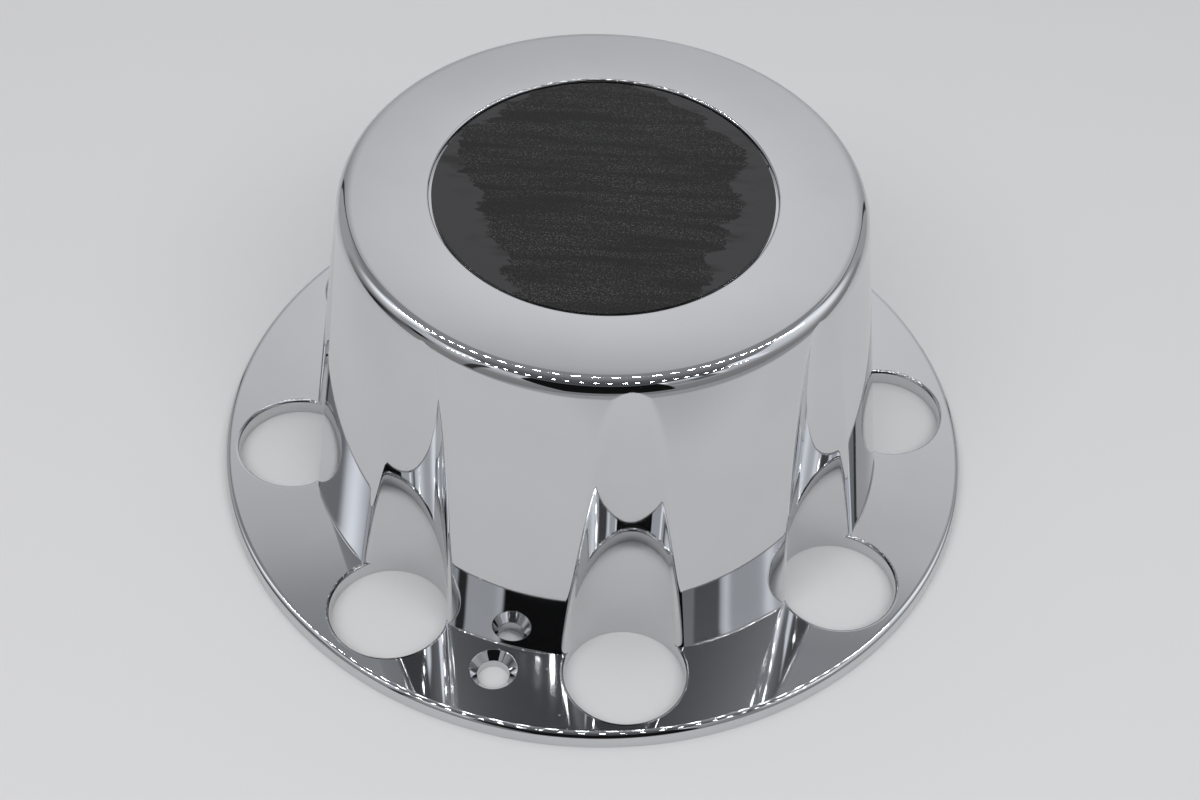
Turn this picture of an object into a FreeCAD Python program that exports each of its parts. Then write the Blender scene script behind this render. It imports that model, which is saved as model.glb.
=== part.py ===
import FreeCAD, Part
import os
import Sketcher

# Bolt-on centre cap for an eight-stud wheel, in millimetres, +Z up.
# The origin is the centre of the flange's underside, where the cap sits on the wheel.
# The two screw holes lie on the Y axis; the lug wells lie half a step to each side of them.

doc = FreeCAD.newDocument("center_cap")

# Driving sizes: name, value, what it is.
SIZES = [
    ("flange_land", 4.15, "flange left outside the lug wells"),
    ("flange_thick", 4.7, "height of the flange's top face above its underside"),
    ("flange_bevel", 1.2, "bevel of the flange's outer top edge"),
    ("base_inset", 4.55, "how far the wall's foot, at the flange's top, lies inside the lug circle"),
    ("body_draft", 8.0, "lean of the body's wall from upright, degrees"),
    ("body_height", 92.3, "height of the top face above the underside"),
    ("rim_round", 4.5, "rounding between the wall and the top face"),
    ("wall_thick", 3.0, "thickness of the body's wall and of the lug wells"),
    ("top_thick", 3.0, "thickness of the top under the recess"),
    ("lug_circle_dia", 165.1, "pitch circle of the lug wells"),
    ("lug_count", 8, "number of lug wells"),
    ("lug_dia", 30.6, "diameter of a lug well through the flange"),
    ("lug_draft", 0.5, "widening of a lug well above the flange, degrees per side"),
    ("screw_outset", 8.0, "distance of a screw hole's axis from the wall's foot"),
    ("screw_count", 2, "number of screw holes"),
    ("screw_dia", 8.0, "bore of a screw hole"),
    ("screw_sink_dia", 11.8, "diameter of its countersink at the flange's top"),
    ("screw_sink_angle", 90.0, "full angle of the countersink, degrees"),
    ("disc_dia", 86.0, "diameter of the emblem disc"),
    ("disc_thick", 1.0, "thickness of the emblem disc"),
    ("disc_edge", 0.2, "chamfer of the disc's top edge"),
    ("disc_clear", 0.25, "gap round the disc in its recess, per side"),
    ("disc_sink", 0.5, "how far the disc's face lies below the top"),
    ("lip_bevel", 0.6, "bevel of the recess's edge"),
    ("cut_over", 4.0, "how far cutting shapes run past the material"),
]

sheet = doc.addObject("Spreadsheet::Sheet", "sizes")
for row, (name, size, note) in enumerate(SIZES, start=1):
    sheet.set("A%d" % row, name)
    sheet.set("B%d" % row, str(size))
    sheet.set("C%d" % row, note)
    sheet.setAlias("B%d" % row, name)
doc.recompute()

# Sizes that follow from the driving ones.
LUG_CIRCLE_R = "(sizes.lug_circle_dia / 2)"
BASE_R = "(%s - sizes.base_inset)" % LUG_CIRCLE_R
FLANGE_R = "(%s + sizes.lug_dia / 2 + sizes.flange_land)" % LUG_CIRCLE_R
SCREW_R = "(%s + sizes.screw_outset)" % BASE_R
SLOPE = "tan(sizes.body_draft * 1 deg)"
RECESS_DEPTH = "(sizes.disc_thick + sizes.disc_sink)"
RECESS_R = "(sizes.disc_dia / 2 + sizes.disc_clear)"
RECESS_Z = "(sizes.body_height - %s)" % RECESS_DEPTH
CEILING_Z = "(%s - sizes.top_thick)" % RECESS_Z
TOP_R = "(%s - (sizes.body_height - sizes.flange_thick) * %s)" % (BASE_R, SLOPE)
WALL_ACROSS = "(sizes.wall_thick / cos(sizes.body_draft * 1 deg))"
MOUTH_R = "(%s + (sizes.flange_thick + sizes.cut_over) * %s - %s)" % (BASE_R, SLOPE, WALL_ACROSS)
CEILING_R = "(%s - (%s - sizes.flange_thick) * %s - %s)" % (BASE_R, CEILING_Z, SLOPE, WALL_ACROSS)
LUG_SLOPE = "tan(sizes.lug_draft * 1 deg)"
LUG_ANGLE = "(180 deg / sizes.lug_count)"


def origin_part(body, role):
    """The body's own origin plane or axis that plays the given role."""
    for item in body.Origin.OriginFeatures:
        if item.Role == role:
            return item
    raise RuntimeError("no origin feature " + role)


def new_body(name):
    body = doc.addObject("PartDesign::Body", name)
    body.Label = name
    return body


def new_sketch(body, name, plane, lift=None):
    """A sketch on one of the body's origin planes, lifted along its normal if asked."""
    sketch = body.newObject("Sketcher::SketchObject", name)
    sketch.AttachmentSupport = [(origin_part(body, plane), "")]
    sketch.MapMode = "FlatFace"
    if lift:
        sketch.setExpression("AttachmentOffset.Base.z", lift)
    return sketch


def polygon(sketch, points):
    """Closed outline whose corners are all driven by (x, y) expressions."""
    count = len(points)
    spots = []
    for x_text, y_text in points:
        x_value = float(sheet.evalExpression(x_text))
        y_value = float(sheet.evalExpression(y_text))
        spots.append(FreeCAD.Vector(x_value, y_value, 0))
    for index in range(count):
        start = spots[index]
        end = spots[(index + 1) % count]
        sketch.addGeometry(Part.LineSegment(start, end), False)
    for index in range(count):
        joint = (index + 1) % count
        sketch.addConstraint(Sketcher.Constraint("Coincident", index, 2, joint, 1))
    for index, (x_text, y_text) in enumerate(points):
        for kind, text, spot in (("DistanceX", x_text, spots[index].x), ("DistanceY", y_text, spots[index].y)):
            number = sketch.addConstraint(Sketcher.Constraint(kind, -1, 1, index, 1, spot))
            sketch.setExpression("Constraints[%d]" % number, text)
    doc.recompute()


def circle(sketch, x_text, y_text, radius_text):
    """Circle whose centre and radius are driven by expressions."""
    x_value = float(sheet.evalExpression(x_text))
    y_value = float(sheet.evalExpression(y_text))
    radius = float(sheet.evalExpression(radius_text))
    spot = FreeCAD.Vector(x_value, y_value, 0)
    ring = sketch.addGeometry(Part.Circle(spot, FreeCAD.Vector(0, 0, 1), radius), False)
    rules = (
        (Sketcher.Constraint("DistanceX", -1, 1, ring, 3, x_value), x_text),
        (Sketcher.Constraint("DistanceY", -1, 1, ring, 3, y_value), y_text),
        (Sketcher.Constraint("Radius", ring, radius), radius_text),
    )
    for rule, text in rules:
        number = sketch.addConstraint(rule)
        sketch.setExpression("Constraints[%d]" % number, text)
    doc.recompute()


def revolve(body, name, sketch):
    feature = body.newObject("PartDesign::Revolution", name)
    feature.Profile = sketch
    feature.ReferenceAxis = (sketch, ["V_Axis"])
    feature.Angle = 360
    doc.recompute()
    return feature


def ring_edges(feature, tests):
    """Names of the full-circle edges whose (radius, height) match one of the tests."""
    names = []
    for index, edge in enumerate(feature.Shape.Edges, start=1):
        if not isinstance(edge.Curve, Part.Circle):
            continue
        for radius, height in tests:
            near = abs(edge.Curve.Radius - radius) < 0.01
            if near and abs(edge.Curve.Center.z - height) < 0.01:
                names.append("Edge%d" % index)
    return names


def dress(body, name, kind, feature, edges, size_name, size_text):
    """Fillet or chamfer on the named edges of a feature."""
    dressing = body.newObject("PartDesign::" + kind, name)
    dressing.Base = (feature, edges)
    dressing.setExpression(size_name, size_text)
    doc.recompute()
    return dressing


def value(text):
    return float(sheet.evalExpression(text))


def well_cutter(body, name, extra):
    """Cut one lug well, or the outside of its wall, and repeat it round the axis.

    The cutter is straight through the flange and widens upward from there.
    """
    outline = new_sketch(body, name + "_outline", "XZ_Plane")
    # Turned so that the cut's seam faces the cap's axis and meets each ridge at its highest point.
    outline.AttachmentOffset = FreeCAD.Placement(FreeCAD.Vector(), FreeCAD.Rotation(FreeCAD.Vector(0, 1, 0), 90))
    outline.setExpression("AttachmentOffset.Rotation.Angle", "90 deg + %s" % LUG_ANGLE)
    outline.setExpression("AttachmentOffset.Base.x", "%s * sin(%s)" % (LUG_CIRCLE_R, LUG_ANGLE))
    outline.setExpression("AttachmentOffset.Base.z", "%s * cos(%s)" % (LUG_CIRCLE_R, LUG_ANGLE))
    straight = "sizes.lug_dia / 2 + %s" % extra
    top = "sizes.body_height + sizes.cut_over"
    wide = "%s + (%s - sizes.flange_thick) * %s" % (straight, top, LUG_SLOPE)
    polygon(outline, [
        ("0", "-sizes.cut_over"),
        (straight, "-sizes.cut_over"),
        (straight, "sizes.flange_thick"),
        (wide, top),
        ("0", top),
    ])
    cutter = body.newObject("PartDesign::Groove", name)
    cutter.Profile = outline
    cutter.ReferenceAxis = (outline, ["V_Axis"])
    cutter.Angle = 360
    doc.recompute()
    return repeat(body, name + "_ring", cutter, "sizes.lug_count")


def repeat(body, name, feature, count_text):
    ring = body.newObject("PartDesign::PolarPattern", name)
    ring.Originals = [feature]
    ring.Axis = (origin_part(body, "Z_Axis"), [""])
    ring.Angle = 360
    ring.setExpression("Occurrences", count_text)
    body.Tip = ring
    doc.recompute()
    return ring


# The hollow: the body's cone set in by the wall, less a sleeve of wall round each lug well.
hollow = new_body("hollow")
hollow_outline = new_sketch(hollow, "hollow_outline", "XZ_Plane")
polygon(hollow_outline, [
    ("0", "-sizes.cut_over"),
    (MOUTH_R, "-sizes.cut_over"),
    (CEILING_R, CEILING_Z),
    ("0", CEILING_Z),
])
revolve(hollow, "hollow_cone", hollow_outline)
well_cutter(hollow, "sleeve", "sizes.wall_thick")

# The cap: flange, leaning wall, rim and the recess for the disc, turned in one outline.
cap = new_body("cap_shell")
cap_outline = new_sketch(cap, "cap_outline", "XZ_Plane")
polygon(cap_outline, [
    ("0", "0"),
    (FLANGE_R, "0"),
    (FLANGE_R, "sizes.flange_thick"),
    (BASE_R, "sizes.flange_thick"),
    (TOP_R, "sizes.body_height"),
    ("%s + sizes.lip_bevel" % RECESS_R, "sizes.body_height"),
    (RECESS_R, "sizes.body_height - sizes.lip_bevel"),
    (RECESS_R, RECESS_Z),
    ("0", RECESS_Z),
])
cap_solid = revolve(cap, "cap_solid", cap_outline)
rim_edge = ring_edges(cap_solid, [(value(TOP_R), value("sizes.body_height"))])
rim = dress(cap, "rim", "Fillet", cap_solid, rim_edge, "Radius", "sizes.rim_round")
outer_edge = ring_edges(rim, [(value(FLANGE_R), value("sizes.flange_thick"))])
dress(cap, "flange_edge", "Chamfer", rim, outer_edge, "Size", "sizes.flange_bevel")

# Take the hollow out of the cap.
hollowing = cap.newObject("PartDesign::Boolean", "hollowing")
hollowing.Type = "Cut"
hollowing.setObjects([hollow])
cap.Tip = hollowing
doc.recompute()

# The lug wells run up the wall as flutes and fade out under the rim.
well_cutter(cap, "lug_well", "0")

# Countersunk screw holes between the wells.
screw_spot = new_sketch(cap, "screw_spot", "XY_Plane", "sizes.flange_thick")
circle(screw_spot, "0", "-" + SCREW_R, "sizes.screw_dia / 2")
screw_hole = cap.newObject("PartDesign::Hole", "screw_hole")
screw_hole.Profile = screw_spot
screw_hole.ThreadType = "None"
screw_hole.DepthType = "ThroughAll"
screw_hole.HoleCutType = "Countersink"
screw_hole.setExpression("Diameter", "sizes.screw_dia")
screw_hole.setExpression("HoleCutDiameter", "sizes.screw_sink_dia")
screw_hole.setExpression("HoleCutCountersinkAngle", "sizes.screw_sink_angle * 1 deg")
doc.recompute()
repeat(cap, "screw_holes", screw_hole, "sizes.screw_count")

# The emblem disc lies on the floor of the recess.
disc = new_body("emblem_disc")
disc_outline = new_sketch(disc, "disc_outline", "XY_Plane", RECESS_Z)
circle(disc_outline, "0", "0", "sizes.disc_dia / 2")
disc_pad = disc.newObject("PartDesign::Pad", "disc_pad")
disc_pad.Profile = disc_outline
disc_pad.setExpression("Length", "sizes.disc_thick")
doc.recompute()
face_edge = ring_edges(disc_pad, [(value("sizes.disc_dia / 2"), value(RECESS_Z) + value("sizes.disc_thick"))])
dress(disc, "disc_rim", "Chamfer", disc_pad, face_edge, "Size", "sizes.disc_edge")

for item in doc.Objects:
    if "Invalid" in item.State or "Error" in item.State:
        raise RuntimeError("%s: %s" % (item.Name, item.State))

os.makedirs("parts", exist_ok=True)
for node in (cap, disc):
    shape = node.Shape
    if shape.isNull() or not shape.isValid():
        raise RuntimeError(node.Label + " has no valid shape")
    if len(shape.Solids) != 1:
        raise RuntimeError(node.Label + " is not one solid")
    shape.exportStep("parts/%s.step" % node.Label)
    print(node.Label, "volume %.1f mm3" % shape.Volume, shape.BoundBox)
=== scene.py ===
import math

import bmesh
import bpy
from mathutils import Matrix, Quaternion, Vector


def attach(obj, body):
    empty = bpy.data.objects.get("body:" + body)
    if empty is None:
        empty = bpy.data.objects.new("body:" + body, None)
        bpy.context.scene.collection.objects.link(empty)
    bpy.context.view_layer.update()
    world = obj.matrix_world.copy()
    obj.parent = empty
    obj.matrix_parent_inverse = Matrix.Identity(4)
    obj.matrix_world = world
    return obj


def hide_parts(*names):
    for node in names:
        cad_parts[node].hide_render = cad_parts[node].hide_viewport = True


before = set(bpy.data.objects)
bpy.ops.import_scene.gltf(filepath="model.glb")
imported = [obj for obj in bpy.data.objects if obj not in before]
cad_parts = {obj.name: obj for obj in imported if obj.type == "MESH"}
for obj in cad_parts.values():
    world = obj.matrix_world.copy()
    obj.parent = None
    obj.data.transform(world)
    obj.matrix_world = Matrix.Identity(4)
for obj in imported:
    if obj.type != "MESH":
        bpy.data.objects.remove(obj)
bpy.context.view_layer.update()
bpy.ops.object.select_all(action="DESELECT")

MM = 0.001

# Sizes of the cap in millimetres, as in the CAD model.
LUG_COUNT = 8
LUG_CIRCLE_R = 82.55
LUG_R = 15.3
LUG_SLOPE = math.tan(math.radians(0.5))
WALL_FOOT_R = 78.0
WALL_LEAN = math.radians(8.0)
WALL_SLOPE = math.tan(WALL_LEAN)
WALL_THICK = 3.0
FLANGE_TOP = 4.7
TOP_Z = 92.3
TOP_THICK = 3.0
RIM_ROUND = 4.5
DISC_SINK = 0.5
DISC_THICK = 1.0
RECESS_R = 43.25
RECESS_Z = TOP_Z - DISC_SINK - DISC_THICK
CEILING_Z = RECESS_Z - TOP_THICK
SCREW_CIRCLE_R = 86.0
SCREW_R = 4.0
SINK_R = 5.9

# A little smaller than in the CAD model: the flange stays inside the CAD's box, and a dark gap shows round
# the disc, which is shifted back by a hair.
FLANGE_R = 101.96
DISC_R = 42.6
DISC_SHIFT = 0.2

# Roundings and other fine forms that only the finished look has, in millimetres.
RIDGE_ROUND_LOW = 2.4
RIDGE_ROUND_HIGH = 7.5
FLUTE_EXTRA = 0.8
FLUTE_EXTRA_FROM_Z = 48.0
RUN_OUT_DEPTH = 0.02
FOOT_ROUND = 0.5
HOLE_ROUND = 1.0
HOLE_FOOT_BEVEL = 0.4
FLANGE_ROUND = 2.0
FLANGE_FOOT_BEVEL = 0.3
LIP_ROUND = 0.6
TOP_FALL = 0.35
TOP_EDGE_INSET = 16.2
CEILING_ROUND = 2.0
SLEEVE_ROUND = 1.0
SCREW_SOFT = 0.2
DIE_OUT_LENGTH = 4.0
LEAST_ROUND = 0.001

# Fineness of the cap's mesh; its two distances are in millimetres.
WELL_STEPS = 22
RIDGE_STEPS = 8
WALL_STEPS = 18
WALL_COUNTS = (WELL_STEPS, RIDGE_STEPS, WALL_STEPS)
SLEEVE_COUNTS = (10, 3, 10)
WALL_RISE_STEPS = 44
HOLLOW_RISE_STEPS = 16
RISE_CROWDING = 1.7
RIM_STEPS = 16
CROWN_STEPS = 8
LIP_STEPS = 8
FOOT_STEPS = 4
HOLE_STEPS = 30
HOLE_ROUND_STEPS = 5
FLANGE_STEPS = 14
FLANGE_ROUND_STEPS = 8
SCREW_STEPS = 24
CEILING_STEPS = 5
HALVINGS = 40
FAN_R = 20.0
MERGE_DISTANCE = 0.004
SLIVER_DISTANCE = 0.002
SMOOTH_ANGLE = math.radians(35.0)
NORMAL_WEIGHT = 50

# The disc's mesh: corners, widths of the rings on its face, and its softened edge, in millimetres.
DISC_CORNERS = 192
DISC_RING_WIDTHS = (0.5, 6.0)
DISC_EDGE = 0.2
DISC_EDGE_STEPS = 3

HALF_PITCH = math.pi / LUG_COUNT
QUARTER_TURN = math.pi / 2.0

# The photograph's viewpoint in metres, found by fitting a camera to the cap's edges.
CAMERA_AZIMUTH = math.radians(15.33)
CAMERA_PLACE = Vector((0.0990, -0.3611, 0.4242))
CAMERA_AIM = Vector((-0.0025, 0.0143, 0.0))
CAMERA_ROLL = math.radians(2.553)
CAMERA_LENS = 60.48
CAMERA_SENSOR = 36.0
CAMERA_CLIP = 0.01


def polar(radius, azimuth, z):
    """Point at an azimuth counted from -Y towards +X."""
    return Vector((radius * math.sin(azimuth), -radius * math.cos(azimuth), z))


def azimuth_of(point):
    return math.atan2(point.x, -point.y)


def seen_place(right, back, up):
    """Place given from the camera's side: to its right, away from it, and up."""
    turn = Quaternion((0.0, 0.0, 1.0), CAMERA_AZIMUTH)
    return turn @ Vector((right, back, up))


def smooth_step(value):
    value = min(max(value, 0.0), 1.0)
    return value * value * (3.0 - 2.0 * value)


def wall_radius(z):
    return WALL_FOOT_R - (z - FLANGE_TOP) * WALL_SLOPE


def well_radius(z):
    """Drafted well, a little deeper near the top, so that its flute runs out on the rim."""
    extra = FLUTE_EXTRA * smooth_step((z - FLUTE_EXTRA_FROM_Z) / (TOP_Z - FLUTE_EXTRA_FROM_Z))
    return LUG_R + max(z - FLANGE_TOP, 0.0) * LUG_SLOPE + extra


def flute_depth(radius, z):
    """How deep a well cuts into a wall of this radius."""
    return radius + well_radius(z) - LUG_CIRCLE_R


def ridge_radius(z):
    """The ridges grow softer as they climb."""
    share = smooth_step((z - FLANGE_TOP) / (TOP_Z - FLANGE_TOP))
    return RIDGE_ROUND_LOW + (RIDGE_ROUND_HIGH - RIDGE_ROUND_LOW) * share ** 2


def level_outline(wall_r, well_r, ridge_r, z, counts):
    """Level cut through half a lug pitch, from the middle of a well to the middle of a panel.

    The well's arc and the wall's arc are joined by an arc of the ridge's radius.
    """
    well_count, ridge_count, wall_count = counts
    near = wall_r - ridge_r
    far = well_r + ridge_r
    ridge_turn = math.acos((near * near + LUG_CIRCLE_R ** 2 - far * far) / (2.0 * near * LUG_CIRCLE_R))
    ridge_centre = polar(near, ridge_turn, z)
    well_centre = polar(LUG_CIRCLE_R, 0.0, z)
    reach = ridge_centre - well_centre
    well_turn = math.atan2(reach.x, reach.y)
    points = []
    for step in range(well_count + 1):
        turn = well_turn * step / well_count
        points.append(well_centre + Vector((math.sin(turn), math.cos(turn), 0.0)) * well_r)
    first = math.atan2(-reach.x, reach.y)
    for step in range(1, ridge_count + 1):
        turn = first + (ridge_turn - first) * step / ridge_count
        points.append(ridge_centre + polar(ridge_r, turn, 0.0))
    for step in range(1, wall_count + 1):
        turn = ridge_turn + (HALF_PITCH - ridge_turn) * step / wall_count
        points.append(polar(wall_r, turn, z))
    return points


def moved_in(ring, shrink, z):
    """The ring's points at the same azimuths, nearer the axis, at a new height."""
    return [polar(math.hypot(p.x, p.y) - shrink, azimuth_of(p), z) for p in ring]


def circle_like(ring, radius, z):
    """A circle with its points at the ring's azimuths."""
    return [polar(radius, azimuth_of(p), z) for p in ring]


def heights(low, high, count):
    """Heights that crowd together towards the upper end."""
    spread = []
    for step in range(count + 1):
        share = step / count
        spread.append(low + (high - low) * (1.0 - (1.0 - share) ** RISE_CROWDING))
    return spread


class Half:
    """Builder of one half pitch, placed and mirrored as asked, inside a shared mesh."""

    def __init__(self, mesh, well_azimuth, side):
        self.mesh = mesh
        self.well_azimuth = well_azimuth
        self.side = side

    def ring(self, points):
        made = []
        for point in points:
            radius = math.hypot(point.x, point.y)
            azimuth = self.well_azimuth + self.side * azimuth_of(point)
            made.append(self.mesh.verts.new(polar(radius, azimuth, point.z)))
        return made

    def face(self, corners):
        self.mesh.faces.new(corners)

    def skin(self, lower, upper):
        for index in range(len(lower) - 1):
            self.face([lower[index], lower[index + 1], upper[index + 1], upper[index]])

    def skins(self, rings):
        for lower, upper in zip(rings, rings[1:]):
            self.skin(lower, upper)

    def fan(self, ring, z):
        """Close a ring's wedge to the axis."""
        centre = self.ring([Vector((0.0, 0.0, z))])[0]
        for index in range(len(ring) - 1):
            self.face([ring[index], ring[index + 1], centre])

    def crease(self, ring):
        """Part the shading along a ring's first edge, where a rounding dies out to nothing."""
        self.mesh.edges.get(ring[:2]).smooth = False


def rim_shape():
    """Radius and height of points from the wall over the rim and the crowned top to the recess."""
    lip = RECESS_R + LIP_ROUND
    slope = 2.0 * TOP_FALL / (WALL_FOOT_R - TOP_EDGE_INSET - lip)
    last_turn = QUARTER_TURN - math.atan(slope)
    centre_z = TOP_Z - TOP_FALL - RIM_ROUND * math.sin(last_turn)
    bend_z = centre_z + RIM_ROUND * math.sin(WALL_LEAN)
    centre_r = wall_radius(bend_z) - RIM_ROUND * math.cos(WALL_LEAN)

    def rim_point(turn):
        return centre_r + RIM_ROUND * math.cos(turn), centre_z + RIM_ROUND * math.sin(turn)

    # One more point lies where the flutes run out, found by halving.
    turns = [WALL_LEAN + (last_turn - WALL_LEAN) * step / RIM_STEPS for step in range(RIM_STEPS + 1)]
    in_flute, past_flute = WALL_LEAN, last_turn
    for step in range(HALVINGS):
        middle = (in_flute + past_flute) / 2.0
        if flute_depth(*rim_point(middle)) > RUN_OUT_DEPTH:
            in_flute = middle
        else:
            past_flute = middle
    shape = [rim_point(turn) for turn in sorted(turns + [in_flute])]

    outer = shape[-1][0]
    for step in range(1, CROWN_STEPS + 1):
        share = 1.0 - step / CROWN_STEPS
        shape.append((lip + (outer - lip) * share, TOP_Z - TOP_FALL * share * share))
    for step in range(1, LIP_STEPS + 1):
        turn = QUARTER_TURN * step / LIP_STEPS
        shape.append((lip - LIP_ROUND * math.sin(turn), TOP_Z - LIP_ROUND + LIP_ROUND * math.cos(turn)))
    shape.append((RECESS_R, RECESS_Z))
    return shape


def wall_outlines():
    """Level cuts of the outside from the flange to where the wells run out on the rim, then the top."""
    shape = rim_shape()
    bend_z = shape[0][1]
    profile = [(wall_radius(z), z) for z in heights(FLANGE_TOP, bend_z, WALL_RISE_STEPS)] + shape[1:]
    cuts = []
    fluted = True
    for radius, z in profile:
        fluted = fluted and flute_depth(radius, z) > RUN_OUT_DEPTH / 2.0
        if fluted:
            cuts.append(level_outline(radius, well_radius(z), ridge_radius(z), z, WALL_COUNTS))
        else:
            cuts.append(circle_like(cuts[-1], radius, z))
    return cuts


def dying_round(full, distance):
    """Radius of a rounding that dies out towards a ridge."""
    return max(full * smooth_step(distance / DIE_OUT_LENGTH), LEAST_ROUND)


def foot_rings(half, foot, panel):
    """Hollow rounding between a panel and the flange, dying out at the ridge."""
    rings = [[] for step in range(FOOT_STEPS + 1)]
    for point in foot:
        size = dying_round(FOOT_ROUND, (point - foot[0]).length)
        azimuth = azimuth_of(point)
        centre_z = FLANGE_TOP + size
        touch_z = centre_z - size * math.sin(WALL_LEAN)
        centre_r = wall_radius(touch_z) + size * math.cos(WALL_LEAN)
        for step, ring in enumerate(rings):
            turn = math.pi + WALL_LEAN + (QUARTER_TURN - WALL_LEAN) * step / FOOT_STEPS
            radius = centre_r + size * math.cos(turn)
            ring.append(polar(radius, azimuth, centre_z + size * math.sin(turn)))
    made = [half.ring(ring) for ring in rings]
    half.skin(made[0], panel)
    half.skins(made[::-1])
    half.crease(made[0])
    return made[-1]


def hole_rings(half, first_turn):
    """The part of a lug hole that stands free of the wall: bevelled foot, side and rounded edge."""
    centre = polar(LUG_CIRCLE_R, 0.0, 0.0)
    foot = []
    bevel = []
    rounds = [[] for step in range(HOLE_ROUND_STEPS + 1)]
    for index in range(HOLE_STEPS + 1):
        turn = first_turn + (math.pi - first_turn) * index / HOLE_STEPS
        size = dying_round(HOLE_ROUND, (turn - first_turn) * LUG_R)
        outward = Vector((math.sin(turn), math.cos(turn), 0.0))
        foot.append(centre + outward * (LUG_R + HOLE_FOOT_BEVEL))
        bevel.append(centre + outward * LUG_R + Vector((0.0, 0.0, HOLE_FOOT_BEVEL)))
        for step, ring in enumerate(rounds):
            bend = QUARTER_TURN * step / HOLE_ROUND_STEPS
            radius = LUG_R + size - size * math.cos(bend)
            height = FLANGE_TOP - size + size * math.sin(bend)
            ring.append(centre + outward * radius + Vector((0.0, 0.0, height)))
    low = half.ring(foot)
    side = half.ring(bevel)
    edge = [half.ring(ring) for ring in rounds]
    half.skins([low, side] + edge)
    half.crease(edge[0])
    return low, edge[-1]


def flange_edge_rings(half):
    """The flange's rounded outer edge, its side and the small bevel under it."""
    azimuths = [HALF_PITCH * step / FLANGE_STEPS for step in range(FLANGE_STEPS + 1)]
    shape = []
    for step in range(FLANGE_ROUND_STEPS + 1):
        turn = QUARTER_TURN * step / FLANGE_ROUND_STEPS
        radius = FLANGE_R - FLANGE_ROUND + FLANGE_ROUND * math.sin(turn)
        shape.append((radius, FLANGE_TOP - FLANGE_ROUND + FLANGE_ROUND * math.cos(turn)))
    shape.append((FLANGE_R, FLANGE_FOOT_BEVEL))
    shape.append((FLANGE_R - FLANGE_FOOT_BEVEL, 0.0))
    made = []
    for radius, z in shape:
        made.append(half.ring([polar(radius, azimuth, z) for azimuth in azimuths]))
    half.skins(made)
    return made[0], made[-1]


def screw_rings(half):
    """Half of a countersunk screw hole with softened edges, on the middle line of a panel."""
    neck_z = FLANGE_TOP - SINK_R + SCREW_R
    shape = [
        (SINK_R + 1.25 * SCREW_SOFT, FLANGE_TOP),
        (SINK_R + 0.5 * SCREW_SOFT, FLANGE_TOP - 0.3 * SCREW_SOFT),
        (SINK_R, FLANGE_TOP - SCREW_SOFT),
        (SCREW_R + 0.6 * SCREW_SOFT, neck_z - 0.6 * SCREW_SOFT),
        (SCREW_R, neck_z - 1.6 * SCREW_SOFT),
        (SCREW_R, 0.0),
    ]
    centre = polar(SCREW_CIRCLE_R, HALF_PITCH, 0.0)
    outward = polar(1.0, HALF_PITCH, 0.0)
    towards_well = Vector((-math.cos(HALF_PITCH), -math.sin(HALF_PITCH), 0.0))
    made = []
    for radius, z in shape:
        ring = []
        for step in range(SCREW_STEPS + 1):
            turn = math.pi * step / SCREW_STEPS
            spot = centre + outward * (radius * math.cos(turn)) + towards_well * (radius * math.sin(turn))
            ring.append(Vector((spot.x, spot.y, z)))
        made.append(half.ring(ring))
    half.skins(made)
    return made[0], made[-1]


def hollow_rings(half):
    """Inside of the cap: its leaning wall, the sleeves round the wells and the ceiling."""
    across = WALL_THICK / math.cos(WALL_LEAN)
    upper = CEILING_Z - CEILING_ROUND
    cuts = []
    for z in heights(0.0, upper, HOLLOW_RISE_STEPS):
        inner_r = wall_radius(z) - across
        cuts.append(level_outline(inner_r, well_radius(z) + WALL_THICK, SLEEVE_ROUND, z, SLEEVE_COUNTS))
    edge = cuts[-1]
    for step in range(1, CEILING_STEPS + 1):
        turn = QUARTER_TURN * step / CEILING_STEPS
        shrink = CEILING_ROUND * (1.0 - math.cos(turn))
        cuts.append(moved_in(edge, shrink, upper + CEILING_ROUND * math.sin(turn)))
    made = [half.ring(cut) for cut in cuts]
    half.skins(made)
    inner = half.ring(circle_like(edge, FAN_R, CEILING_Z))
    half.skin(made[-1], inner)
    half.fan(inner, CEILING_Z)
    return made[0]


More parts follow.
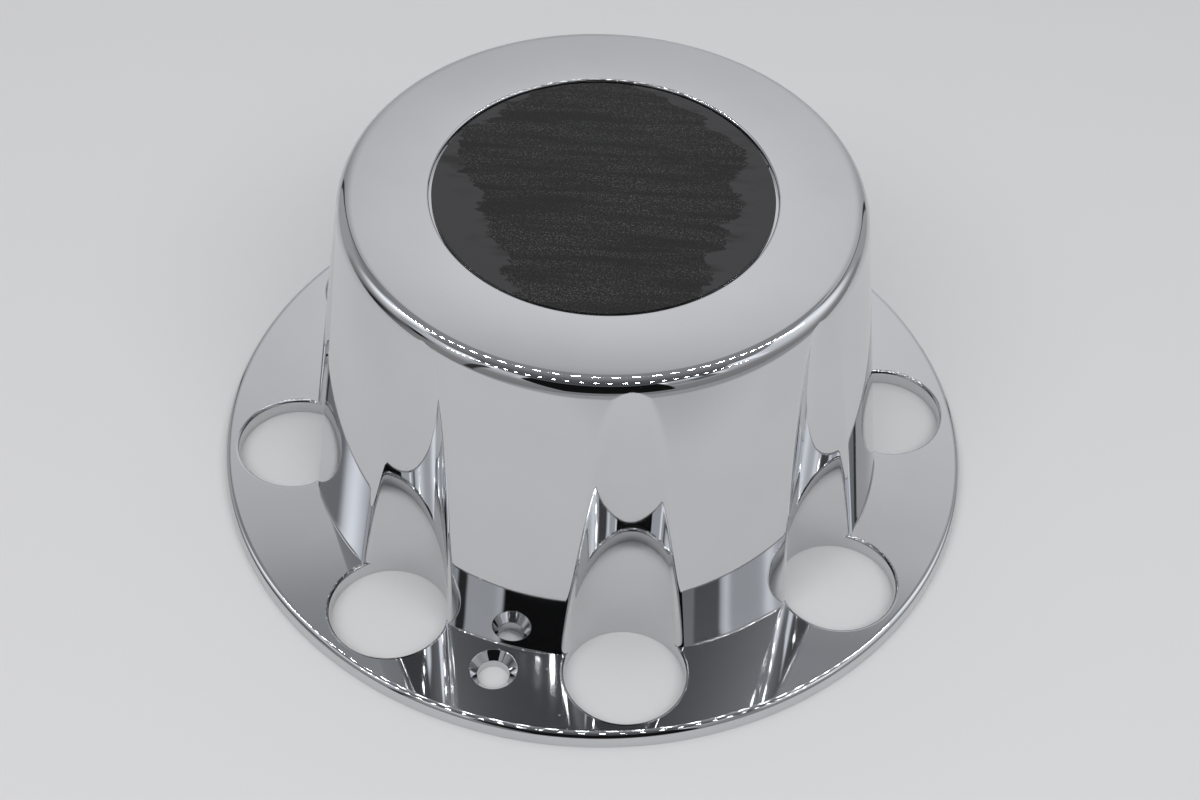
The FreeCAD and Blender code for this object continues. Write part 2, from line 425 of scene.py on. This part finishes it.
def build_half(mesh, well_azimuth, side, with_screw):
    half = Half(mesh, well_azimuth, side)
    cuts = wall_outlines()
    foot = cuts[0]
    ridge_end = WELL_STEPS + RIDGE_STEPS
    rings = [half.ring(cut) for cut in cuts]

    # Wells and ridges start on the flange's level; the panels start above their hollow rounding.
    half.skin(rings[0][:ridge_end + 1], rings[1][:ridge_end + 1])
    panel_foot = foot_rings(half, foot[ridge_end:], rings[1][ridge_end:])
    half.skins(rings[1:])
    floor_ring = half.ring(circle_like(cuts[-1], FAN_R, RECESS_Z))
    half.skin(rings[-1], floor_ring)
    half.fan(floor_ring, RECESS_Z)

    # The well goes on down through the flange.
    well_centre = polar(LUG_CIRCLE_R, 0.0, FLANGE_TOP)
    bevel_top = []
    bevel_foot = []
    for point in foot[:WELL_STEPS + 1]:
        outward = (point - well_centre).normalized()
        bevel_top.append(Vector((point.x, point.y, HOLE_FOOT_BEVEL)))
        bevel_foot.append(polar(LUG_CIRCLE_R, 0.0, 0.0) + outward * (LUG_R + HOLE_FOOT_BEVEL))
    well_low = half.ring(bevel_foot)
    half.skins([well_low, half.ring(bevel_top), rings[0][:WELL_STEPS + 1]])
    reach = foot[WELL_STEPS] - well_centre
    hole_low, hole_edge = hole_rings(half, math.atan2(reach.x, reach.y))
    edge_top, edge_low = flange_edge_rings(half)
    mouth = hollow_rings(half)
    screw_top = []
    screw_low = []
    if with_screw:
        screw_top, screw_low = screw_rings(half)

    # Level faces of the flange, above and below.
    ridge_foot = rings[0][WELL_STEPS + 1:ridge_end]
    half.face(panel_foot[::-1] + ridge_foot[::-1] + hole_edge + edge_top + screw_top)
    half.face(mouth + screw_low[::-1] + edge_low[::-1] + hole_low[::-1] + well_low[::-1])


def new_object(name, data):
    thing = bpy.data.objects.new(name, data)
    bpy.context.scene.collection.objects.link(thing)
    return thing


def smooth_shading(thing):
    """Smooth shading whose flat faces stay flat beside their rounded edges."""
    bpy.ops.object.select_all(action="DESELECT")
    thing.select_set(True)
    bpy.context.view_layer.objects.active = thing
    bpy.ops.object.shade_smooth_by_angle(angle=SMOOTH_ANGLE)
    weighted = thing.modifiers.new("even_normals", "WEIGHTED_NORMAL")
    weighted.mode = "FACE_AREA"
    weighted.weight = NORMAL_WEIGHT
    weighted.keep_sharp = True
    bpy.ops.object.modifier_apply(modifier=weighted.name)


def make_cap():
    """The chromed shell, shaded in millimetres, because the weighting passes over very small faces."""
    mesh = bmesh.new()
    for index in range(LUG_COUNT):
        well_azimuth = HALF_PITCH + index * 2.0 * HALF_PITCH
        for side in (1, -1):
            panel_middle = index + (1 + side) // 2
            on_y_axis = panel_middle % (LUG_COUNT // 2) == 0
            build_half(mesh, well_azimuth, side, on_y_axis)
    bmesh.ops.remove_doubles(mesh, verts=mesh.verts, dist=MERGE_DISTANCE)
    bmesh.ops.dissolve_degenerate(mesh, edges=mesh.edges, dist=SLIVER_DISTANCE)
    bmesh.ops.recalc_face_normals(mesh, faces=mesh.faces)
    open_edges = sum(1 for edge in mesh.edges if not edge.is_manifold)
    print("cap edges left open:", open_edges)
    data = bpy.data.meshes.new("chrome_cap")
    mesh.to_mesh(data)
    mesh.free()
    cap = new_object("chrome_cap", data)
    smooth_shading(cap)
    data.transform(Matrix.Scale(MM, 4))
    return cap


def make_disc():
    """Thin disc with a softened edge, from a circle drawn out upward."""
    place = seen_place(0.0, DISC_SHIFT, RECESS_Z) * MM
    bpy.ops.object.select_all(action="DESELECT")
    bpy.ops.mesh.primitive_circle_add(
        vertices=DISC_CORNERS, radius=DISC_R * MM, fill_type="NGON", location=place)
    disc = bpy.context.object
    disc.name = "black_disc"
    bpy.ops.object.transform_apply(location=True)
    bpy.ops.object.mode_set(mode="EDIT")
    bpy.ops.mesh.select_all(action="SELECT")
    bpy.ops.mesh.extrude_region_move(TRANSFORM_OT_translate={"value": (0.0, 0.0, DISC_THICK * MM)})
    for width in DISC_RING_WIDTHS:
        bpy.ops.mesh.inset(thickness=width * MM)
    bpy.ops.mesh.select_all(action="SELECT")
    bpy.ops.mesh.normals_make_consistent(inside=False)
    bpy.ops.object.mode_set(mode="OBJECT")
    bevel = disc.modifiers.new("soft_edge", "BEVEL")
    bevel.width = DISC_EDGE * MM
    bevel.segments = DISC_EDGE_STEPS
    bevel.limit_method = "ANGLE"
    bpy.ops.object.modifier_apply(modifier=bevel.name)
    smooth_shading(disc)
    return disc


class Field:
    """A value in a node tree; arithmetic on it adds the nodes."""

    def __init__(self, tree, socket):
        self.tree = tree
        self.socket = socket

    def node(self, kind, settings=None, output=0, **inputs):
        """Any other node: its settings first, then its sockets by name."""
        made = self.tree.nodes.new(kind)
        for name, value in (settings or {}).items():
            setattr(made, name, value)
        for name, value in inputs.items():
            self.plug(made.inputs[name.replace("_", " ")], value)
        return Field(self.tree, made.outputs[output])

    def plug(self, socket, value):
        if isinstance(value, Field):
            self.tree.links.new(value.socket, socket)
        else:
            socket.default_value = value

    def math(self, operation, *values):
        made = self.tree.nodes.new("ShaderNodeMath")
        made.operation = operation
        for socket, value in zip(made.inputs, values):
            self.plug(socket, value)
        return Field(self.tree, made.outputs[0])

    def __add__(self, other):
        return self.math("ADD", self, other)

    def __radd__(self, other):
        return self.math("ADD", other, self)

    def __sub__(self, other):
        return self.math("SUBTRACT", self, other)

    def __rsub__(self, other):
        return self.math("SUBTRACT", other, self)

    def __mul__(self, other):
        return self.math("MULTIPLY", self, other)

    def __truediv__(self, other):
        return self.math("DIVIDE", self, other)

    def __abs__(self):
        return self.math("ABSOLUTE", self)

    def at_least(self, other):
        return self.math("MAXIMUM", self, other)

    def at_most(self, other):
        return self.math("MINIMUM", self, other)

    def axes(self):
        """The three coordinates of a vector."""
        parts = self.node("ShaderNodeSeparateXYZ", Vector=self).socket.node.outputs
        return [Field(self.tree, part) for part in parts]

    def ramp(self, low, high):
        """0 below low, 1 above high, smooth between."""
        return self.node("ShaderNodeMapRange", {"interpolation_type": "SMOOTHSTEP"}, Value=self,
                         From_Min=low, From_Max=high)

    def fall(self, low, high):
        """1 below low, 0 above high, smooth between."""
        return 1.0 - self.ramp(low, high)

    def band(self, first, last, soft):
        """1 between two values, 0 outside them."""
        return self.ramp(first - soft, first + soft) * self.fall(last - soft, last + soft)

    def bell(self, middle, width):
        """1 at the middle value, falling off softly on both sides."""
        offset = (self - middle) / width
        return self.math("POWER", math.exp(-1.0), offset * offset)

    def towards(self, other, share):
        """This value moved towards another one by a share of the way."""
        return self + (other - self) * share

    def mix(self, first, second):
        """Colour between two colours, by this value."""
        made = self.tree.nodes.new("ShaderNodeMix")
        made.data_type = "RGBA"
        self.plug(made.inputs["Factor"], self)
        for socket, value in ((made.inputs[6], first), (made.inputs[7], second)):
            self.plug(socket, value)
        return Field(self.tree, made.outputs[2])

    def noise(self, scale, detail, roughness=0.5):
        """Even noise over a vector of coordinates."""
        return self.node("ShaderNodeTexNoise", Vector=self, Scale=scale, Detail=detail, Roughness=roughness)

    def bump(self, strength, distance):
        """A normal from this value taken as a height."""
        return self.node("ShaderNodeBump", Strength=strength, Distance=distance, Height=self)


def new_material(name):
    """A material with its shader node, and the place on the object in metres."""
    material = bpy.data.materials.new(name)
    material.use_nodes = True
    tree = material.node_tree
    shader = tree.nodes["Principled BSDF"]
    coords = tree.nodes.new("ShaderNodeTexCoord")
    place = Field(tree, coords.outputs["Object"])
    return material, shader, place


CHROME_CLEAR = (0.67, 0.675, 0.685, 1.0)
CHROME_HAZED = (0.64, 0.645, 0.655, 1.0)
CHROME_ROUGHNESS = 0.025
HAZE_ROUGHNESS = 0.02
SPECK_ROUGHNESS = 0.12
HAZE_SCALE = 38.0
SPECK_SCALE = 900.0
WAVE_SCALE = 55.0
WAVE_STRENGTH = 0.02
WAVE_HEIGHT = 0.0006


def chrome_material():
    """Bright plating: slightly uneven, with faint haze and a few specks of dust."""
    material, shader, place = new_material("bright_chrome")
    haze = place.noise(HAZE_SCALE, 3.0)
    specks = place.noise(SPECK_SCALE, 1.0).ramp(0.74, 0.80)
    roughness = haze.ramp(0.45, 0.75) * HAZE_ROUGHNESS + specks * SPECK_ROUGHNESS + CHROME_ROUGHNESS
    place.plug(shader.inputs["Base Color"], haze.ramp(0.3, 0.8).mix(CHROME_CLEAR, CHROME_HAZED))
    place.plug(shader.inputs["Roughness"], roughness)
    shader.inputs["Metallic"].default_value = 1.0
    waves = place.noise(WAVE_SCALE, 1.0)
    place.plug(shader.inputs["Normal"], waves.bump(WAVE_STRENGTH, WAVE_HEIGHT))
    return material


WIPE_TURN = math.radians(13.0)
PATCH_BLACK = (0.002, 0.002, 0.002, 1.0)
PATCH_FLAKE = (0.102, 0.102, 0.10, 1.0)
FILM_GREY = (0.035, 0.035, 0.0365, 1.0)
FILM_FOLD = (0.008, 0.008, 0.0085, 1.0)
FILM_ROUGHNESS = 0.22
PATCH_EXTRA_ROUGHNESS = 0.2
DISC_SPECULAR = 0.38
FLAKE_SCALE = 2300.0
FLAKE_SHOWN_LEAST = 0.18
FLAKE_SHOWN_STREAK = 0.82
FILM_RELIEF = 0.6
FLAKE_RELIEF = 0.12
RELIEF_STRENGTH = 0.3
RELIEF_HEIGHT = 0.0003

# Reach of the clinging patch from the disc's middle line, in disc radii, and how fast it draws in.
PATCH_WIDEST = 0.25
PATCH_LEFT = 0.88
PATCH_RIGHT = 0.80
LEFT_DRAWN_ABOVE = 1.1
LEFT_DRAWN_BELOW = 0.42
RIGHT_DRAWN_ABOVE = 1.25
RIGHT_DRAWN_BELOW = 0.2
RAGGED_BROAD = 0.40
RAGGED_FINE = 0.13
PATCH_EDGE = 0.008
FOLD_REACH = 0.20


def disc_material():
    """Black flake finish under a clear film that clings in a ragged patch and stands off round it."""
    material, shader, place = new_material("black_film_disc")
    x, y, z = place.axes()
    across = (x * math.cos(WIPE_TURN) + y * math.sin(WIPE_TURN)) / (DISC_R * MM)
    along = (y * math.cos(WIPE_TURN) - x * math.sin(WIPE_TURN)) / (DISC_R * MM)

    def strokes(wide, tall, detail):
        """Noise drawn out across the disc, as a wiping hand leaves it."""
        drawn = place.node("ShaderNodeCombineXYZ", X=across * wide, Y=along * tall, Z=z)
        return drawn.noise(1.0, detail, 0.6)

    above = (along - PATCH_WIDEST).at_least(0.0)
    below = (PATCH_WIDEST - along).at_least(0.0)
    left = PATCH_LEFT - above * above * LEFT_DRAWN_ABOVE - below * LEFT_DRAWN_BELOW
    right = PATCH_RIGHT - above * above * RIGHT_DRAWN_ABOVE - below * RIGHT_DRAWN_BELOW
    broad = strokes(1.8, 7.5, 2.0) - 0.5
    fine = strokes(14.0, 30.0, 3.0) - 0.5
    ragged = broad * RAGGED_BROAD + fine * RAGGED_FINE
    inside = (across + left + ragged).at_most(right - across + ragged)
    patch = inside.ramp(-PATCH_EDGE, PATCH_EDGE)

    flake = place.noise(FLAKE_SCALE, 2.0, 0.8).ramp(0.48, 0.72)
    streak = strokes(1.1, 13.0, 3.0).ramp(0.36, 0.62)
    glitter = flake * (streak * FLAKE_SHOWN_STREAK + FLAKE_SHOWN_LEAST)
    fold = strokes(2.4, 9.0, 2.0).ramp(0.46, 0.72) * inside.ramp(-FOLD_REACH, 0.0)
    film_colour = fold.mix(FILM_GREY, FILM_FOLD)
    patch_colour = glitter.mix(PATCH_BLACK, PATCH_FLAKE)
    place.plug(shader.inputs["Base Color"], patch.mix(film_colour, patch_colour))
    place.plug(shader.inputs["Roughness"], FILM_ROUGHNESS + patch * PATCH_EXTRA_ROUGHNESS)
    shader.inputs["Specular IOR Level"].default_value = DISC_SPECULAR
    relief = strokes(2.2, 10.0, 1.0) * (1.0 - patch) * FILM_RELIEF + flake * patch * FLAKE_RELIEF
    place.plug(shader.inputs["Normal"], relief.bump(RELIEF_STRENGTH, RELIEF_HEIGHT))
    return material


FLOOR_SIZE = 6.0
# Painted shade on the floor, darker towards the camera's side: its way, and where it starts and where it is
# full, in metres.
FLOOR_SHADE_WAY = CAMERA_AZIMUTH + math.radians(25.0)
FLOOR_SHADE_FROM = 0.155
FLOOR_SHADE_TO = 0.26
FLOOR_PALE = (0.77, 0.77, 0.775, 1.0)
FLOOR_PALEST = (0.79, 0.79, 0.795, 1.0)
# Colour of the painted shade on the floor.
FLOOR_PAINTED_SHADE = (0.42, 0.42, 0.43, 1.0)
FLOOR_CLOUD_SCALE = 5.0
FLOOR_ROUGHNESS = 0.7
FLOOR_SPECULAR = 0.2


def floor_material():
    """Pale matt sheet, a little uneven in tone, with painted shade that darkens it softly towards the
    camera's side.
    """
    material, shader, place = new_material("pale_floor")
    x, y, z = place.axes()
    ahead = x * math.sin(FLOOR_SHADE_WAY) - y * math.cos(FLOOR_SHADE_WAY)
    pale = place.noise(FLOOR_CLOUD_SCALE, 2.0).mix(FLOOR_PALE, FLOOR_PALEST)
    # Painted shade: the floor is mixed towards a grey on the camera's side, as under a shadow cast from
    # there.
    colour = ahead.ramp(FLOOR_SHADE_FROM, FLOOR_SHADE_TO).mix(pale, FLOOR_PAINTED_SHADE)
    place.plug(shader.inputs["Base Color"], colour)
    shader.inputs["Roughness"].default_value = FLOOR_ROUGHNESS
    shader.inputs["Specular IOR Level"].default_value = FLOOR_SPECULAR
    return material


def dress(thing, material, nodes):
    thing.data.materials.clear()
    thing.data.materials.append(material)
    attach(thing, "root")
    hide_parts(nodes)


# Tones of the room that the chrome mirrors, from 0 for black to 1 for white.
SHEET_TONE = 0.50
SHEET_RISE = 0.11
SHEET_RIGHT = 0.08
SHEET_GLOW = 0.20
SHEET_EDGE_SHADE = 0.16
SHEET_HIGH_SHADE = 0.25
SIDE_TONE = 0.27
SIDE_RISE = 0.38
SIDE_RIGHT_RISE = 0.12
NEAR_POOL = 0.55
MURK_SHADE = 0.26
LEFT_PATCH_SHADE = 0.25
GLOOM_TONE = 0.42
GLOOM_HIGH_SHADE = 0.15
GAP_TONE = 0.05
CEILING_TONE = 0.09
CEILING_BACK_RISE = 0.21
OPENING_TONE = 0.008
SEAM_TONE = 0.04
ROOM_TINT = (0.99, 0.99, 1.02, 1.0)
ROOM_COOL_TINT = (0.957, 0.993, 1.05, 1.0)
MEAN_TINT = (0.98, 0.99, 1.02, 1.0)
MEAN_TONE = 0.37

# Upright streaks on the side walls: middle and width in degrees, then how much lighter or darker.
LOW_STREAKS = (
    (53.0, 1.8, 0.40),
    (72.0, 2.8, 0.50),
    (-32.0, 1.8, 0.15),
    (-52.0, 2.0, -0.15),
    (-87.0, 4.5, -0.25),
)
HIGH_STREAKS = (
    (44.0, 1.8, 0.55),
    (30.5, 1.3, 0.80),
    (-48.0, 1.6, 0.90),
    (-55.5, 2.0, -0.55),
)

# Broader stretches: first and last degree, softness of their edges, then how much lighter or darker.
LOW_STRETCHES = ((30.0, 50.5, 0.8, -0.27), (40.0, 50.0, 0.8, -0.16))
HIGH_STRETCHES = ((48.0, 63.0, 1.0, -0.55),)


class Room:
    """Directions of the room as seen from the cap, in degrees, and the tones that lie there.

    A turn counts from the camera's side, to the right, and a lift from the horizon.
    """

    def __init__(self, way):
        x, y, up = way.axes()
        self.right = x * math.cos(CAMERA_AZIMUTH) + y * math.sin(CAMERA_AZIMUTH)
        self.back = y * math.cos(CAMERA_AZIMUTH) - x * math.sin(CAMERA_AZIMUTH)
        self.lift = up.math("ARCSINE", up) * math.degrees(1.0)
        self.turn = up.math("ARCTAN2", self.right, self.back * -1.0) * math.degrees(1.0)
        self.swing = abs(self.turn)
        self.on_right = self.turn.ramp(-1.0, 1.0)
        self.height = up.at_least(0.03)
        self.depth = self.back / abs(self.right).at_least(0.02)
        edge = 138.0 - self.on_right * self.lift.ramp(15.0, 48.0) * 11.0
        self.past_edge = self.swing - edge

    def by_side(self, left, right):
        """A value that differs between the left and the right."""
        return left + self.on_right * (right - left)

    def streaks(self, streaks, stretches):
        """Sum of the upright streaks and stretches."""
        parts = [self.turn.bell(middle, width) * gain for middle, width, gain in streaks]
        parts = parts + [self.turn.band(first, last, soft) * gain for first, last, soft, gain in stretches]
        total = parts[0]
        for part in parts[1:]:
            total = total + part
        return total

    def sheet(self):
        """Pale sheet behind, brightest where the top mirrors it, and duller towards its edges."""
        across = self.right / self.height
        glow = across.bell(-0.02, 0.25) * (self.back / self.height).bell(1.05, 0.25)
        tone = SHEET_TONE + self.lift.ramp(0.0, 40.0) * SHEET_RISE
        tone = tone + across.ramp(-0.1, 0.35) * SHEET_RIGHT + glow * SHEET_GLOW
        tone = tone - self.swing.fall(138.0, 160.0) * SHEET_EDGE_SHADE
        return tone - self.lift.ramp(44.0, 56.0) * across.bell(0.0, 0.38) * SHEET_HIGH_SHADE

    def pools(self):
        """Bright pools on the side walls, under the ends of the lamp rows."""
        far = self.depth.bell(self.by_side(0.25, 0.32), self.by_side(0.13, 0.20))
        far = far * self.lift.ramp(self.by_side(16.0, 10.0), self.by_side(44.0, 30.0))
        near = self.depth.bell(self.by_side(-0.42, -0.29), self.by_side(0.17, 0.11))
        near = near * self.lift.ramp(41.0, 49.0)
        return far * self.by_side(0.75, 0.45) + near * NEAR_POOL

    def sides(self, pools):
        """Side walls: grey low down and paler higher up, with pools, streaks and a gloom at the back."""
        front = self.swing.fall(60.0, 90.0)
        rise = self.lift.ramp(4.0 + front * 14.0, 40.0 + front * 6.0)
        tone = SIDE_TONE + rise * (SIDE_RISE + self.on_right * (1.0 - front) * SIDE_RIGHT_RISE)
        murk = (self.swing + self.lift * 0.65).bell(95.0, 9.0) * self.lift.fall(28.0, 38.0)
        tone = tone + pools - murk * (1.0 - self.on_right) * MURK_SHADE
        low_streaks = self.streaks(LOW_STREAKS, LOW_STRETCHES)
        tone = tone + low_streaks * self.lift.ramp(29.0, 36.0) * self.lift.fall(44.0, 48.0)
        tone = tone - self.turn.bell(-75.0, 7.0) * self.lift.band(24.0, 33.0, 1.5) * LEFT_PATCH_SHADE
        tone = tone + self.streaks(HIGH_STREAKS, HIGH_STRETCHES) * self.lift.ramp(43.0, 47.5)
        gloom = GLOOM_TONE - self.lift.ramp(28.0, 42.0) * GLOOM_HIGH_SHADE
        gloom_start = self.by_side(0.36, 0.52) + self.lift.ramp(44.0, 50.0) * 0.12
        return tone.towards(gloom, self.depth.ramp(gloom_start, gloom_start + 0.13))

    def ceiling(self, pools):
        """Where the dark ceiling is: lower in the corners, higher over the pools."""
        corner = self.swing.bell(143.0, 9.0)
        return (self.lift + corner * 5.0 - pools * 9.0).ramp(50.6, 54.0)

    def opening(self, ceiling):
        """Where the black opening is that the camera looks through."""
        left_edge = -12.0 - self.lift.ramp(8.0, 40.0) * 19.0
        between = (self.turn - left_edge).ramp(-0.8, 0.8) * self.turn.fall(28.5, 30.0)
        return between * self.lift.ramp(4.0, 9.0) * (1.0 - ceiling)

    def tone_and_tint(self):
        pools = self.pools()
        ceiling = self.ceiling(pools)

        # The sheet's edge stands off the side walls, with a dark gap between.
        tone = self.sides(pools).towards(self.sheet(), self.past_edge.ramp(0.8, 1.4))
        tone = tone.towards(GAP_TONE, self.past_edge.band(-1.5, 1.0, 0.5))

        # Over these come the ceiling, the opening and a dark seam left of it.
        seam = self.turn.band(-49.2, -45.2, 0.8) * self.lift.fall(41.0, 45.0)
        tone = tone.towards(CEILING_TONE + self.back.ramp(-0.42, 0.30) * CEILING_BACK_RISE, ceiling)
        tone = tone.towards(OPENING_TONE, self.opening(ceiling))
        tone = tone.towards(SEAM_TONE, seam)

        cool = (self.past_edge.fall(-5.0, 5.0) * self.lift.ramp(24.0, 42.0)).at_least(ceiling)
        return tone, cool.mix(ROOM_TINT, ROOM_COOL_TINT)


def make_room():
    """The room as the chrome mirrors it; matt surfaces are lit by its mean tone alone, which is quicker."""
    world = bpy.data.worlds.new("soft_room")
    world.use_nodes = True
    tree = world.node_tree
    coords = tree.nodes.new("ShaderNodeTexCoord")
    way = Field(tree, coords.outputs["Generated"])
    tone, tint = Room(way).tone_and_tint()
    seen = tree.nodes["Background"]
    way.plug(seen.inputs["Color"], tint)
    way.plug(seen.inputs["Strength"], tone)
    mean = way.node("ShaderNodeBackground", Color=MEAN_TINT, Strength=MEAN_TONE)
    on_matt = way.node("ShaderNodeLightPath", None, "Is Diffuse Ray")
    both = way.node("ShaderNodeMixShader", Fac=on_matt)
    mix_inputs = both.socket.node.inputs
    way.plug(mix_inputs[1], Field(tree, seen.outputs[0]))
    way.plug(mix_inputs[2], mean)
    way.plug(tree.nodes["World Output"].inputs["Surface"], both)
    world.cycles.sampling_method = "NONE"
    bpy.context.scene.world = world


# Lights: places from the camera's side and sizes in metres, powers in watts.
OVERHEAD_PLACE = (0.0, 0.2, 1.8)
OVERHEAD_SIZE = (2.4, 2.0)
OVERHEAD_POWER = 5.6
FRONT_PLACE = (0.0, -0.75, 1.2)
FRONT_SIZE = (2.0, 0.5)
FRONT_POWER = 11.0
LAMP_HEIGHT = 0.9
LAMP_SIZE = (0.013, 0.017)
LAMP_POWER = 0.05

# Rows of small lamps: name, how far back, pitch, and how many lie on each side of the middle one.
LAMP_ROWS = (("lamp_far", 0.17, 0.0385, 21), ("lamp_near", -0.37, 0.055, 15))


def area_light(name, place, aim, size, power, in_mirrors):
    """A light that either shows in the chrome or lights the matt surfaces."""
    light = bpy.data.lights.new(name, "AREA")
    light.shape = "RECTANGLE"
    light.size, light.size_y = size
    light.energy = power
    thing = new_object(name, light)
    thing.location = place
    thing.rotation_mode = "QUATERNION"
    thing.rotation_quaternion = (aim - place).to_track_quat("-Z", "Y")
    thing.visible_glossy = in_mirrors
    thing.visible_diffuse = not in_mirrors


def make_stage():
    """Pale floor, soft light from above, and two rows of small lamps for the glints on the rim."""
    bpy.ops.object.select_all(action="DESELECT")
    bpy.ops.mesh.primitive_plane_add(size=FLOOR_SIZE, location=(0.0, 0.0, 0.0))
    floor = bpy.context.object
    floor.name = "floor"
    floor.data.materials.append(floor_material())
    centre = Vector((0.0, 0.0, 0.0))
    overhead = seen_place(*OVERHEAD_PLACE)
    area_light("overhead", overhead, centre, OVERHEAD_SIZE, OVERHEAD_POWER, in_mirrors=False)
    front = seen_place(*FRONT_PLACE)
    area_light("front_strip", front, centre, FRONT_SIZE, FRONT_POWER, in_mirrors=False)
    for name, back, pitch, count in LAMP_ROWS:
        for index in range(-count, count + 1):
            spot = seen_place(index * pitch, back, LAMP_HEIGHT)
            below = spot - Vector((0.0, 0.0, 1.0))
            area_light("%s_%d" % (name, index + count), spot, below, LAMP_SIZE, LAMP_POWER, in_mirrors=True)


def make_camera():
    """The photograph's viewpoint."""
    camera = bpy.data.cameras.new("photo_camera")
    camera.sensor_width = CAMERA_SENSOR
    camera.lens = CAMERA_LENS
    camera.clip_start = CAMERA_CLIP
    thing = new_object("photo_camera", camera)
    roll = Quaternion((0.0, 0.0, 1.0), CAMERA_ROLL)
    thing.location = CAMERA_PLACE
    thing.rotation_mode = "QUATERNION"
    thing.rotation_quaternion = (CAMERA_AIM - CAMERA_PLACE).to_track_quat("-Z", "Y") @ roll
    bpy.context.scene.camera = thing


cap = make_cap()
dress(cap, chrome_material(), "cap_shell")
disc = make_disc()
dress(disc, disc_material(), "emblem_disc")
make_room()
make_stage()
make_camera()
bpy.context.scene.view_settings.view_transform = "Standard"
